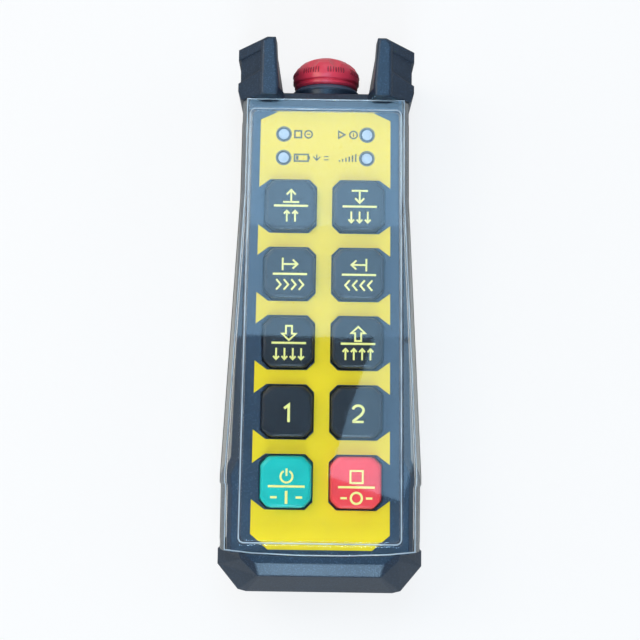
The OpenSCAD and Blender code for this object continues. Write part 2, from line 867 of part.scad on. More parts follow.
module keypad_mat() {
    color([0.25, 0.25, 0.27])
    difference() {
        block(-mat_half, mat_half, mat_y0, mat_y1, board_z + fit, face_in_z - fit);
        block(
            -mat_half + mat_rim, mat_half - mat_rim, mat_y0 + mat_rim, mat_y1 - mat_rim,
            mat_z + mat_t, face_in_z + over
        );
        block(
            -mat_half + mat_rim, mat_half - mat_rim, mat_y0 + mat_rim, mat_y1 - mat_rim,
            board_z - over, mat_z
        );
        key_places() translate([0, 0, mat_z - over])
            cylinder(r = push_r + loose, h = mat_t + 2 * over, $fn = 32);
    }
}

// One key: rounded cap, flange that holds it in, and the pin that meets its switch
module key(row, s) {
    rise = row == row_count ? key_rise_low : key_rise;
    top = face_z + rise;
    translate([s * key_x, row_y(row), 0]) {
        loft(
            concat([flange_z - fit], [for (r = key_round) top - r[0]]),
            concat(
                [softened(octagon(key_size, key_chamfer), corner_soft)],
                [for (r = key_round) softened(octagon(key_size - 2 * r[1], key_chamfer), corner_soft)]
            )
        );
        plate(octagon(flange_size, key_chamfer), flange_z - flange_t, flange_z);
        translate([0, 0, push_z]) cylinder(r = push_r, h = flange_z - push_z, $fn = 32);
    }
}

key_black = [0.12, 0.13, 0.15];
key_green = [0.05, 0.62, 0.55];
key_red = [0.9, 0.2, 0.22];

module key_row1_left() { color(key_black) key(1, -1); }
module key_row1_right() { color(key_black) key(1, 1); }
module key_row2_left() { color(key_black) key(2, -1); }
module key_row2_right() { color(key_black) key(2, 1); }
module key_row3_left() { color(key_black) key(3, -1); }
module key_row3_right() { color(key_black) key(3, 1); }
module key_row4_left() { color(key_black) key(4, -1); }
module key_row4_right() { color(key_black) key(4, 1); }
module key_row5_left() { color(key_green) key(5, -1); }
module key_row5_right() { color(key_red) key(5, 1); }

module circuit_board() {
    color([0.05, 0.35, 0.2])
    difference() {
        block(-board_half, board_half, board_y0, board_y1, under_z, board_z);
        block(-board_notch, board_notch, board_notch_y, board_y1 + over, under_z - over, board_z + over);
        for (s = [-1, 1]) for (y = post_ys) translate([s * post_x, y, under_z - over])
            cylinder(r = board_screw_r + loose, h = board_t + 2 * over, $fn = 24);
    }
}

module board_screws() {
    color([0.75, 0.75, 0.77])
    for (s = [-1, 1]) for (y = post_ys) translate([s * post_x, y, under_z])
        pan_screw(board_screw_r, board_screw_head_r, board_screw_head_h, board_t + board_screw_len - over);
}

module key_switches() {
    color([0.2, 0.2, 0.2])
    key_places() {
        translate([0, 0, board_z])
            block(
                -switch_body / 2, switch_body / 2, -switch_body / 2, switch_body / 2,
                0, switch_h - actuator_h
            );
        translate([0, 0, board_z + switch_h - actuator_h]) cylinder(r = actuator_r, h = actuator_h, $fn = 24);
    }
}

module indicator_leds() {
    color([0.95, 0.95, 0.9])
    for (s = [-1, 1]) for (y = lens_ys) translate([s * lens_x, y, board_z])
        block(-led_w / 2, led_w / 2, -led_w / 2, led_w / 2, 0, led_h);
}

// Places of the chips under the board, as shares of its half width and its length, with their sizes
chip_shares = [[0, 0.62, 1], [-0.5, 0.55, 0.6], [0.5, 0.44, 0.6], [0.12, 0.77, 0.4]];
chip_size = 9;
chip_h = 1.4;

module board_chips() {
    color([0.08, 0.08, 0.09])
    for (c = chip_shares)
        translate([c[0] * board_half, board_y0 + c[1] * (board_y1 - board_y0), under_z - chip_h])
            block(
                -chip_size * c[2] / 2, chip_size * c[2] / 2, -chip_size * c[2] / 2, chip_size * c[2] / 2,
                0, chip_h
            );
}

rf_w = 15;
rf_len = 20;
rf_t = 0.8;
rf_x = -9;
rf_from_end = 36;
rf_y = board_y1 - rf_from_end;
rf_pin_h = 1.5;
shield_h = 2.2;
shield_in = 1.5;

module rf_module() {
    color([0.05, 0.25, 0.45]) {
        block(
            rf_x - rf_w / 2, rf_x + rf_w / 2, rf_y - rf_len / 2, rf_y + rf_len / 2,
            under_z - rf_pin_h - rf_t, under_z - rf_pin_h
        );
        for (s = [-1, 1]) translate([rf_x, rf_y + s * (rf_len / 2 - shield_in / 2), 0])
            block(
                -rf_w / 2 + shield_in, rf_w / 2 - shield_in, -shield_in / 2, shield_in / 2,
                under_z - rf_pin_h - fit, under_z
            );
    }
}

module rf_shield() {
    top = under_z - rf_pin_h - rf_t;
    x0 = rf_x - rf_w / 2 + shield_in;
    x1 = rf_x + rf_w / 2 - shield_in;
    y0 = rf_y - rf_len / 2 + shield_in;
    y1 = rf_y + rf_len / 2 - shield_in;
    t = label_t;
    color([0.8, 0.8, 0.82])
    difference() {
        block(x0, x1, y0, y1, top - shield_h, top);
        block(x0 + t, x1 - t, y0 + t, y1 - t, top - shield_h + t, top + over);
    }
}

antenna_r = 2.4;
antenna_len = 34;
antenna_x = 10;
antenna_from_end = 20;
antenna_y = board_y1 - antenna_from_end - antenna_len;

module antenna() {
    color([0.1, 0.1, 0.1])
    translate([antenna_x, antenna_y, under_z - antenna_r - fit]) rotate([-90, 0, 0])
        cylinder(r = antenna_r, h = antenna_len, $fn = 32);
}

socket_w = 7;
socket_d = 4.5;
socket_h = 4;
socket_x = 17.5;
socket_from_end = 28;
socket_from_start = 70.2;
socket_places = [[socket_x, board_y1 - socket_from_end], [0, board_y0 + socket_from_start]];

module lead_sockets() {
    color([0.92, 0.9, 0.82])
    for (p = socket_places) translate([p[0], p[1], under_z - socket_h]) difference() {
        block(-socket_w / 2, socket_w / 2, -socket_d / 2, socket_d / 2, 0, socket_h);
        block(
            -socket_w / 2 + rf_t, socket_w / 2 - rf_t, -socket_d / 2 + rf_t, socket_d / 2 - rf_t,
            -over, socket_h - rf_pin_h
        );
    }
}

module stop_cap() {
    profile = [for (s = head_shares) [s[0] * stop_r, s[1] * stop_h]];
    lobe_x = lobe_r_share * stop_r;
    lobe_z = lobe_h_share * stop_h;
    reach = (lobe_cut_r - lobe_cut_depth) * sin(45);
    color([0.88, 0.1, 0.16])
    along_y(y_cap) difference() {
        union() {
            rotate_extrude($fn = 96) polygon(concat([[0, 0]], profile, [[0, stop_h]]));
            translate([0, 0, -neck_depth]) cylinder(r = neck_r, h = neck_depth + fit, $fn = 48);
        }
        translate([0, 0, -neck_depth - over])
            cylinder(r = stem_r + fit / 2, h = neck_depth + cap_socket + over, $fn = 48);
        for (k = [0:lobe_count - 1]) rotate([0, 0, (k + 0.5) * 360 / lobe_count + lobe_turn])
            translate([lobe_x + reach, 0, lobe_z + reach]) rotate([0, -45, 0])
                cylinder(r = lobe_cut_r, h = stop_h, center = true, $fn = 32);
    }
}

module stop_stem() {
    color([0.15, 0.15, 0.17])
    along_y(y_stem) cylinder(r = stem_r, h = y_cap + cap_socket - fit - y_stem, $fn = 48);
}

module stop_collar() {
    color([0.1, 0.11, 0.13])
    along_y(0) rotate_extrude($fn = 64) polygon([
        [neck_r + loose / 2, y_ledge],
        [stem_r + loose / 2, y_ledge],
        [stem_r + loose / 2, y_tail],
        [collar_r, y_tail],
        [collar_r, y_boss],
        [boss_r, y_boss],
        [boss_r, y_boss + collar_h - collar_bevel],
        [boss_r - collar_bevel, y_boss + collar_h],
        [neck_r + loose / 2, y_boss + collar_h],
        [neck_r + loose / 2, y_boss - seal_from_boss + seal_r + fit],
        [neck_r + loose / 2 + 2 * seal_r, y_boss - seal_from_boss + seal_r + fit],
        [neck_r + loose / 2 + 2 * seal_r, y_boss - seal_from_boss - seal_r - fit],
        [neck_r + loose / 2, y_boss - seal_from_boss - seal_r - fit]
    ]);
}

module stop_seal() {
    color([0.04, 0.04, 0.04])
    along_y(y_boss - seal_from_boss) rotate_extrude($fn = 48)
        translate([neck_r + fit + seal_r, 0]) circle(r = seal_r, $fn = 24);
}

module stop_nut() {
    color([0.75, 0.75, 0.77])
    along_y(y_boss_in - fit - nut_t) difference() {
        cylinder(r = nut_r, h = nut_t, $fn = 48);
        translate([0, 0, -over]) cylinder(r = collar_r + fit, h = nut_t + 2 * over, $fn = 48);
        for (k = [0:3]) rotate([0, 0, 90 * k]) translate([nut_r, 0, -over])
            cylinder(r = drive_r, h = nut_t + 2 * over, $fn = 24);
    }
}

module stop_spring() {
    color([0.8, 0.8, 0.82])
    along_y(y_block + block_wall + fit)
        coil(spring_r, spring_r, spring_wire, spring_len - 2 * fit, spring_turns);
}

module stop_contact_block() {
    in = block_half - block_wall;
    color([0.16, 0.17, 0.2])
    along_y(0) difference() {
        block(-block_half, block_half, -block_half, block_half, y_block, y_block + block_len);
        block(-in, in, -in, in, y_block + block_wall, y_block + block_len - block_wall);
        translate([0, 0, y_block + block_wall]) cylinder(r = stem_r + loose, h = block_len, $fn = 48);
    }
}

module stop_fixed_contacts() {
    in = block_half - block_wall;
    color([0.85, 0.7, 0.4])
    for (s = [-1, 1]) on_side(s)
        block(
            in - contact_w, in - fit, y_contact, y_contact + contact_t,
            split_z - bridge_w / 2, split_z + bridge_w / 2
        );
}

module stop_contact_bridge() {
    color([0.85, 0.7, 0.4])
    block(
        -bridge_half, bridge_half, y_bridge, y_bridge + bridge_t,
        split_z - bridge_w / 2, split_z + bridge_w / 2
    );
}

module stop_carrier() {
    color([0.9, 0.88, 0.8])
    along_y(y_carrier) difference() {
        cylinder(r = carrier_r, h = carrier_len, $fn = 48);
        translate([0, 0, carrier_len - socket_depth])
            cylinder(r = stem_r + loose / 4, h = socket_depth + over, $fn = 48);
    }
}

// A cell standing on its flat end at y, with its cap towards dir
module cell(x, dir) {
    y = dir > 0 ? bay_y0 + cell_end : bay_y1 - cell_end;
    translate([x, y, cell_z]) rotate([-90 * dir, 0, 0]) {
        cylinder(r = cell_d / 2, h = cell_len - cell_cap_h, $fn = 48);
        translate([0, 0, cell_len - cell_cap_h]) cylinder(r = cell_cap_r, h = cell_cap_h, $fn = 32);
    }
}

module battery_cell_left() { color([0.75, 0.55, 0.25]) cell(-cell_x, 1); }
module battery_cell_right() { color([0.75, 0.55, 0.25]) cell(cell_x, -1); }

module battery_plates() {
    color([0.85, 0.85, 0.86])
    for (s = [-1, 1]) translate([-s * cell_x, s > 0 ? bay_y1 : bay_y0, cell_z]) rotate([90 * s, 0, 0]) {
        block(
            -contact_plate_w / 2, contact_plate_w / 2, -contact_plate_w / 2, contact_plate_w / 2,
            fit, contact_plate_t
        );
        cylinder(r = contact_pip_r, h = cell_end - fit, $fn = 32);
    }
}

module battery_springs() {
    color([0.85, 0.85, 0.86])
    for (s = [-1, 1]) translate([s * cell_x, s > 0 ? bay_y1 : bay_y0, cell_z]) rotate([90 * s, 0, 0])
        translate([0, 0, fit])
            coil(contact_plate_w / 2, contact_pip_r, battery_wire, cell_end - 2 * fit, battery_turns);
}

module battery_cover() {
    pitch = bay_len / cover_ribs;
    half_w = bay_half * cover_rib_share;
    color([0.1, 0.11, 0.13])
    difference() {
        plate(cover_outline(0), back_z, back_z + cover_t);
        for (y = cover_screw_ys) translate([0, y, back_z - over]) {
            cylinder(r = cover_screw_r + loose, h = cover_t + 2 * over, $fn = 24);
            cylinder(r = cover_screw_head_r + loose, h = cover_screw_head_h + over, $fn = 32);
        }
        for (k = [0:cover_ribs - 1])
            block(
                -half_w, half_w, bay_y0 + (k + 0.3) * pitch, bay_y0 + (k + 0.7) * pitch,
                back_z - over, back_z + label_t * 2
            );
    }
}

module battery_cover_gasket() {
    color([0.05, 0.05, 0.05])
    bay_seal(bay_seal_in, bay_seal_in + bay_seal_w, back_z + cover_t, ledge_z + bay_seal_h - fit);
}

module battery_cover_screws() {
    color([0.7, 0.7, 0.72])
    for (y = cover_screw_ys) translate([0, y, back_z + cover_screw_head_h])
        pan_screw(
            cover_screw_r, cover_screw_head_r, cover_screw_head_h - fit,
            ledge_z + cover_screw_len - back_z - cover_screw_head_h - over
        );
}

// Outline of the raised front window, drawn in by d
function window_outline(d) = both_sides([
    [window_w_low / 2 - window_corner - d, sleeve_y0 + window_from_bottom + d],
    [window_w_low / 2 - window_corner / 3 - d, sleeve_y0 + window_from_bottom + window_corner / 3 + d],
    [window_w_low / 2 - d, sleeve_y0 + window_from_bottom + window_corner + d],
    [window_w_top / 2 - d, sleeve_y1 - window_from_top - window_corner - d],
    [window_w_top / 2 - window_corner / 3 - d, sleeve_y1 - window_from_top - window_corner / 3 - d],
    [window_w_top / 2 - window_corner - d, sleeve_y1 - window_from_top - d]
]);

// Form of the sleeve, drawn in by d and longer by grow at both ends
module sleeve_form(d, grow) {
    y0 = sleeve_y0 - grow;
    y1 = sleeve_y1 + grow;
    loft([d, sleeve_back_h, sleeve_foot_z - d / 2, sleeve_face_z - d], [
        sleeve_outline(sleeve_out - d - sleeve_back_w, y0 + back_bow, y1, back_bow),
        sleeve_outline(sleeve_out - d, y0 + back_bow, y1, back_bow),
        sleeve_outline(sleeve_out - d, y0 + back_bow, y1, back_bow),
        sleeve_outline(sleeve_out - d - sleeve_slope_w, y0, y1, sleeve_bow)
    ]);
    loft([sleeve_face_z - d - over, sleeve_face_z + window_rise - d], [
        window_outline(d - window_draft),
        window_outline(d)
    ]);
    low_z = panel_z0 + d;
    high_z = panel_z1 - d;
    panel_y0 = sleeve_y0 + panel_from_bottom + d;
    panel_y1 = sleeve_y1 - panel_from_top - d;
    loft([low_z - side_rise, low_z + side_rise, high_z - side_rise, high_z + side_rise], [
        for (out = [-side_rise, side_rise, side_rise, -side_rise])
            sleeve_outline(sleeve_out - d + out, panel_y0, panel_y1, back_bow)
    ]);
}

module protective_sleeve() {
    color([0.8, 0.88, 0.95, 0.35])
    difference() {
        sleeve_form(0, 0);
        sleeve_form(sleeve_wall, over);
    }
}

front_housing();
rear_housing();
housing_gasket();
housing_screws();
screw_inserts();
face_label();
indicator_lenses();
keypad_mat();
key_row1_left();
key_row1_right();
key_row2_left();
key_row2_right();
key_row3_left();
key_row3_right();
key_row4_left();
key_row4_right();
key_row5_left();
key_row5_right();
circuit_board();
board_screws();
key_switches();
indicator_leds();
board_chips();
rf_module();
rf_shield();
antenna();
lead_sockets();
stop_cap();
stop_stem();
stop_collar();
stop_seal();
stop_nut();
stop_spring();
stop_contact_block();
stop_fixed_contacts();
stop_contact_bridge();
stop_carrier();
battery_cell_left();
battery_cell_right();
battery_plates();
battery_springs();
battery_cover();
battery_cover_gasket();
battery_cover_screws();
protective_sleeve();
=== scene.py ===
"""Looks of the crane radio remote: materials, key legends, small trim, light and camera."""

import json
import math

import bpy
from mathutils import Matrix, Vector
from mathutils.bvhtree import BVHTree


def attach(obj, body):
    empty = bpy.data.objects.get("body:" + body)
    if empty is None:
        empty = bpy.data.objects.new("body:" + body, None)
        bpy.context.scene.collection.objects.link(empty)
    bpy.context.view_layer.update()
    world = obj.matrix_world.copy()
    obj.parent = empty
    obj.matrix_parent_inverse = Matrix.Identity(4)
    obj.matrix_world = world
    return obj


MM = 0.001
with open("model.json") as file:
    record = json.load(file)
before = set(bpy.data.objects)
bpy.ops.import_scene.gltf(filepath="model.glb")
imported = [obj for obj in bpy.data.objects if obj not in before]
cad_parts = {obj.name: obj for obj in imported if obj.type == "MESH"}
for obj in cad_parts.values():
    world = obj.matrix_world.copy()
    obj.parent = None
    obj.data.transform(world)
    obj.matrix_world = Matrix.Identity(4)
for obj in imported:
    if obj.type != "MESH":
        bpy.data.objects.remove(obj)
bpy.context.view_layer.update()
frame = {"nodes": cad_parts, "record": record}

# Camera, as fitted to the photograph: over the face, set towards the bumper and tipped towards the ears
FOCAL_PX = 1349.8
IMAGE_PX = 640
AIM_MM = (-0.97, -2.31, 38.2)
DISTANCE_MM = 450
SENSOR_MM = 36
TILT = math.radians(-6)
ROLL = -0.0145  # radians


def make_camera():
    data = bpy.data.cameras.new("camera")
    data.sensor_width = SENSOR_MM
    data.lens = SENSOR_MM * FOCAL_PX / IMAGE_PX
    data.clip_start = 0.01
    data.clip_end = 20
    cam = bpy.data.objects.new("camera", data)
    turn = (Matrix.Rotation(ROLL, 3, "Z") @ Matrix.Rotation(TILT, 3, "X")).transposed()
    place = (Vector(AIM_MM) + turn @ Vector((0, 0, DISTANCE_MM))) * MM
    cam.matrix_world = Matrix.Translation(place) @ turn.to_4x4()
    bpy.context.collection.objects.link(cam)
    bpy.context.scene.camera = cam


make_camera()


# Materials

# Depths of surface texture, in metres
GRAIN_DEPTH = 0.00008
FILM_DEPTH = 0.00004
FINE_DEPTH = 0.00003
RIPPLE_DEPTH = 0.0004

# Grain over this strength also gets painted glints: random specks of paler base colour
COARSE_GRAIN = 0.5
SPECK = (0.25, 0.27, 0.30)


class Nodes:
    """A material's node tree, with short calls for what these materials share."""

    def __init__(self, name):
        self.mat = bpy.data.materials.new(name)
        self.mat.use_nodes = True
        self.tree = self.mat.node_tree
        self.tree.nodes.clear()
        self.out = self.add("ShaderNodeOutputMaterial")
        self.coord = self.add("ShaderNodeTexCoord")

    def add(self, kind, **values):
        node = self.tree.nodes.new(kind)
        for key, value in values.items():
            setattr(node, key, value)
        return node

    def link(self, a, b):
        self.tree.links.new(a, b)

    def noise(self, scale, detail=2.0, rough=0.5, stretch=None):
        node = self.add("ShaderNodeTexNoise")
        node.inputs["Scale"].default_value = scale
        node.inputs["Detail"].default_value = detail
        node.inputs["Roughness"].default_value = rough
        source = self.coord.outputs["Object"]
        if stretch:
            mapping = self.add("ShaderNodeMapping")
            mapping.inputs["Scale"].default_value = stretch
            self.link(source, mapping.inputs["Vector"])
            source = mapping.outputs["Vector"]
        self.link(source, node.inputs["Vector"])
        return node.outputs["Fac"]

    def ramp(self, fac, stops):
        node = self.add("ShaderNodeValToRGB")
        ramp = node.color_ramp
        while len(ramp.elements) < len(stops):
            ramp.elements.new(0.5)
        for element, (place, colour) in zip(ramp.elements, stops):
            element.position = place
            element.color = (*colour, 1)
        self.link(fac, node.inputs["Fac"])
        return node.outputs["Color"]

    def spread(self, fac, low, high):
        node = self.add("ShaderNodeMapRange")
        node.inputs["To Min"].default_value = low
        node.inputs["To Max"].default_value = high
        self.link(fac, node.inputs["Value"])
        return node.outputs["Result"]

    def mix(self, fac, a, b):
        node = self.add("ShaderNodeMix", data_type="RGBA")
        self.link(fac, node.inputs["Factor"])
        for socket, value in ((node.inputs[6], a), (node.inputs[7], b)):
            if isinstance(value, tuple):
                socket.default_value = (*value, 1)
            else:
                self.link(value, socket)
        return node.outputs[2]

    def math(self, operation, a, b):
        node = self.add("ShaderNodeMath", operation=operation)
        for socket, value in zip(node.inputs, (a, b)):
            if isinstance(value, (int, float)):
                socket.default_value = value
            else:
                self.link(value, socket)
        return node.outputs["Value"]

    def bump(self, height, strength, distance, normal=None):
        node = self.add("ShaderNodeBump")
        node.inputs["Strength"].default_value = strength
        node.inputs["Distance"].default_value = distance
        self.link(height, node.inputs["Height"])
        if normal is not None:
            self.link(normal, node.inputs["Normal"])
        return node.outputs["Normal"]

    def soft_edge(self, radius):
        node = self.add("ShaderNodeBevel", samples=8)
        node.inputs["Radius"].default_value = radius
        return node.outputs["Normal"]

    def edge_mask(self, soft_normal, strength):
        """1 along the edges, where the softened normal leaves the flat one."""
        flat = self.add("ShaderNodeNewGeometry").outputs["Normal"]
        dot = self.add("ShaderNodeVectorMath", operation="DOT_PRODUCT")
        self.link(soft_normal, dot.inputs[0])
        self.link(flat, dot.inputs[1])
        off = self.math("SUBTRACT", 1.0, dot.outputs["Value"])
        scaled = self.math("MULTIPLY", off, strength)
        return self.math("MINIMUM", scaled, 1.0)

    def surface(self, **values):
        node = self.add("ShaderNodeBsdfPrincipled")
        for key, value in values.items():
            socket = node.inputs[key.replace("_", " ")]
            if isinstance(value, bpy.types.NodeSocket):
                self.link(value, socket)
            elif isinstance(value, tuple) and len(value) == 3:
                socket.default_value = (*value, 1)
            else:
                socket.default_value = value
        self.link(node.outputs["BSDF"], self.out.inputs["Surface"])
        return node


def shade(colour, k):
    return tuple(c * k for c in colour)


def plastic(name, colour, rough=0.45, grain=0.25, grain_scale=2600, edge=0.0005, edge_wear_and_highlight=0.25, coat=0.0,
            shine=0.5, sheen=(1.0, 1.0, 1.0)):
    """Moulded plastic: grain, slightly uneven tone and gloss, rounded edges paled by wear and by a painted
    highlight, a few specks, painted glints on coarse grain.
    """
    n = Nodes(name)
    tone = n.ramp(n.noise(70, 3), [(0.3, shade(colour, 0.86)), (0.7, shade(colour, 1.12))])
    soft = n.soft_edge(edge)
    # Edge lightening: partly wear from rubbing, partly a painted highlight along the edges
    wear_and_highlight_edges = n.math("MULTIPLY", n.edge_mask(soft, 5.0), n.spread(n.noise(260, 2), 0.2, 1.0))
    lighter = tuple(min(1, c * 2 + 0.02) for c in colour)
    tone = n.mix(n.math("MULTIPLY", wear_and_highlight_edges, edge_wear_and_highlight), tone, lighter)
    speck = n.math("GREATER_THAN", n.noise(900, 1), 0.80)
    tone = n.mix(n.math("MULTIPLY", speck, 0.4), tone, SPECK)
    # Painted glints: random specks of the base colour made 2.6 times as bright, as if the grain caught the
    # light
    if grain > COARSE_GRAIN:
        painted_glint = n.math("GREATER_THAN", n.noise(2100, 1), 0.60)
        tone = n.mix(n.math("MULTIPLY", painted_glint, 0.55), tone, shade(colour, 2.6))
    gloss = n.spread(n.noise(35, 4), rough - 0.06, rough + 0.08)
    n.surface(
        Base_Color=tone, Roughness=gloss, Coat_Weight=coat, Coat_Roughness=0.2, Specular_IOR_Level=shine,
        Specular_Tint=sheen, Normal=n.bump(n.noise(grain_scale, 3), grain, GRAIN_DEPTH, soft),
    )
    return n.mat


def film(name, colour):
    """Printed polyester overlay: fine texture, a soft gloss, a little unevenness in the ink."""
    n = Nodes(name)
    tone = n.ramp(n.noise(55, 2), [(0.3, shade(colour, 0.96)), (0.7, colour)])
    gloss = n.spread(n.noise(90, 3), 0.3, 0.42)
    n.surface(
        Base_Color=tone, Roughness=gloss, Specular_IOR_Level=0.2,
        Normal=n.bump(n.noise(3200, 2), 0.12, FILM_DEPTH),
    )
    return n.mat


def metal(name, colour):
    """Brushed metal, with uneven tone and gloss along the brushing."""
    n = Nodes(name)
    rough = 0.3
    brushed = n.noise(700, 3, stretch=(1, 1, 12))
    tone = n.ramp(brushed, [(0.3, shade(colour, 0.85)), (0.7, colour)])
    n.surface(
        Base_Color=tone, Metallic=1.0, Roughness=n.spread(brushed, rough - 0.08, rough + 0.12),
        Normal=n.bump(brushed, 0.08, FINE_DEPTH, n.soft_edge(0.0002)),
    )
    return n.mat


def rubber(name, colour):
    n = Nodes(name)
    tone = n.ramp(n.noise(160, 4), [(0.35, shade(colour, 0.8)), (0.7, shade(colour, 1.3))])
    n.surface(Base_Color=tone, Roughness=0.75, Normal=n.bump(n.noise(1500, 4), 0.4, GRAIN_DEPTH))
    return n.mat


def board(name, colour):
    """Solder resist over copper: straight tracks show through as slightly lighter bands."""
    n = Nodes(name)
    tracks = n.add("ShaderNodeTexBrick")
    tracks.inputs["Scale"].default_value = 320
    tracks.inputs["Mortar Size"].default_value = 0.03
    tracks.inputs["Color1"].default_value = (*colour, 1)
    tracks.inputs["Color2"].default_value = (*shade(colour, 0.8), 1)
    tracks.inputs["Mortar"].default_value = (*shade(colour, 1.7), 1)
    n.link(n.coord.outputs["Object"], tracks.inputs["Vector"])
    n.surface(Base_Color=tracks.outputs["Color"], Roughness=0.35, Coat_Weight=0.3)
    return n.mat


def lens(name, colour):
    """Frosted light guide with a softened rim."""
    n = Nodes(name)
    tone = n.ramp(n.noise(900, 2), [(0.3, shade(colour, 0.85)), (0.7, shade(colour, 1.1))])
    n.surface(
        Base_Color=tone, Roughness=0.18, Coat_Weight=0.6, Coat_Roughness=0.08,
        Normal=n.soft_edge(0.0006),
    )
    return n.mat


def clear_sleeve(name):
    """Clear moulded sleeve. Lamps shine through it, so that what is under it is lit."""
    n = Nodes(name)
    soft = n.soft_edge(0.0004)
    ripple = n.bump(n.noise(38, 2), 0.05, RIPPLE_DEPTH, soft)
    hairlines = n.math("GREATER_THAN", n.noise(160, 3, 0.6, (6.0, 0.5, 1.0)), 0.72)
    scuff = n.math("ADD", n.spread(n.noise(420, 5, 0.7), 0.01, 0.04), n.math("MULTIPLY", hairlines, 0.08))
    glass = n.surface(
        Base_Color=(0.97, 0.985, 0.99), Roughness=scuff, IOR=1.43, Transmission_Weight=1.0, Normal=ripple,
    )
    clear = n.add("ShaderNodeBsdfTransparent")
    clear.inputs["Color"].default_value = (0.95, 0.97, 0.98, 1)
    path = n.add("ShaderNodeLightPath")
    either = n.add("ShaderNodeMixShader")
    n.link(path.outputs["Is Shadow Ray"], either.inputs["Fac"])
    n.link(glass.outputs["BSDF"], either.inputs[1])
    n.link(clear.outputs["BSDF"], either.inputs[2])
    n.link(either.outputs["Shader"], n.out.inputs["Surface"])
    return n.mat


def painted_edge_highlight(name):
    """Rounded edge of a clear moulding, painted a pale half-clear colour as a highlight, so that it shows
    paler than the wall beside it.
    """
    n = Nodes(name)
    # Painted highlight: a pale blue-white colour on the bead
    tone = n.ramp(n.noise(140, 3), [(0.3, (0.42, 0.50, 0.58)), (0.7, (0.78, 0.88, 0.95))])
    n.surface(Base_Color=tone, Roughness=0.22, Alpha=0.5, Normal=n.bump(n.noise(600, 2), 0.1, FINE_DEPTH))
    return n.mat


def ink(name, colour):
    n = Nodes(name)
    tone = n.ramp(n.noise(500, 3), [(0.25, shade(colour, 0.88)), (0.7, colour)])
    n.surface(Base_Color=tone, Roughness=0.5, Normal=n.bump(n.noise(2400, 2), 0.1, FINE_DEPTH))
    return n.mat


def wrapped_cell(name, colour):
    """Cell in its shrunk metallic wrapper."""
    n = Nodes(name)
    tone = n.ramp(n.noise(120, 2), [(0.3, shade(colour, 0.9)), (0.7, shade(colour, 1.15))])
    n.surface(Base_Color=tone, Metallic=0.5, Roughness=0.3, Coat_Weight=0.4)
    return n.mat


SHEEN = (0.74, 0.87, 1.0)
MATERIALS = {
    "housing_front": plastic(
        "housing_front", (0.016, 0.027, 0.046), 0.31, grain=0.7, grain_scale=2100, edge=0.001, sheen=SHEEN,
    ),
    "housing_rear": plastic(
        "housing_rear", (0.015, 0.024, 0.040), 0.33, grain=0.7, grain_scale=2100, edge=0.0008, sheen=SHEEN,
    ),
    "seal": rubber("seal", (0.02, 0.02, 0.022)),
    "steel": metal("steel", (0.72, 0.72, 0.74)),
    "brass": metal("brass", (0.78, 0.6, 0.28)),
    "label": film("label", (0.735, 0.520, 0.006)),
    "lens": lens("lens", (0.33, 0.34, 0.37)),
    "mat": rubber("mat", (0.1, 0.1, 0.11)),
    "board": board("board", (0.03, 0.22, 0.11)),
    "switch": plastic("switch", (0.06, 0.06, 0.065), 0.5),
    "led": plastic("led", (0.85, 0.85, 0.78), 0.35, grain=0.05),
    "chip": plastic("chip", (0.025, 0.025, 0.03), 0.5),
    "module": board("module", (0.03, 0.08, 0.2)),
    "socket": plastic("socket", (0.8, 0.77, 0.66), 0.5),
    "stop_red": plastic("stop_red", (0.86, 0.045, 0.085), 0.32, grain=0.06, edge_wear_and_highlight=0.12, coat=0.25),
    "dark_plastic": plastic("dark_plastic", (0.070, 0.098, 0.140), 0.40, sheen=SHEEN),
    "cell": wrapped_cell("cell", (0.45, 0.33, 0.12)),
    "key_black": plastic(
        "key_black", (0.012, 0.016, 0.022), 0.38, grain=0.12, edge=0.0003, edge_wear_and_highlight=0.15, shine=0.25,
    ),
    "key_green": plastic(
        "key_green", (0.002, 0.385, 0.335), 0.36, grain=0.1, edge=0.0003, edge_wear_and_highlight=0.2, shine=0.25,
    ),
    "key_red": plastic(
        "key_red", (0.73, 0.042, 0.048), 0.36, grain=0.1, edge=0.0003, edge_wear_and_highlight=0.2, shine=0.25,
    ),
    "sleeve": clear_sleeve("sleeve"),
}
SLOT_OF = {s["node"]: s["material_slot"] for s in frame["record"]["subparts"]}
for node, obj in frame["nodes"].items():
    obj.data.materials.clear()
    obj.data.materials.append(MATERIALS[SLOT_OF[node]])

LEGEND = ink("legend", (0.78, 0.71, 0.20))
CAPTION = ink("caption", (0.06, 0.048, 0.022))
# Dark ink painted round each lens as the shade at the edge of its hole in the label
LENS_SHADE_INK = ink("ring", (0.06, 0.08, 0.11))
# Pale half-clear colour that paints a highlight along the sleeve's edges
EDGE_HIGHLIGHT_PAINT = painted_edge_highlight("painted_edge_highlight")
# Deeper red for the ribs, painted shade that stands in for the shadows between them
RIB_SHADE_RED = plastic("rib_painted_shade", (0.34, 0.015, 0.030), 0.4, grain=0.05, edge=0.0001, edge_wear_and_highlight=0.0)


# Small pieces, all in millimetres in the part's frame

def mesh_piece(name, verts, faces, mat, body, smooth=False):
    mesh = bpy.data.meshes.new(name)
    mesh.from_pydata([tuple(c * MM for c in v) for v in verts], [], faces)
    mesh.validate()
    mesh.update()
    if smooth:
        mesh.polygons.foreach_set("use_smooth", [True] * len(mesh.polygons))
    mesh.materials.append(mat)
    obj = bpy.data.objects.new(name, mesh)
    bpy.context.collection.objects.link(obj)
    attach(obj, body)


# Corners whose half turn has a smaller cosine than this are cut short
MITRE_LIMIT = 0.45


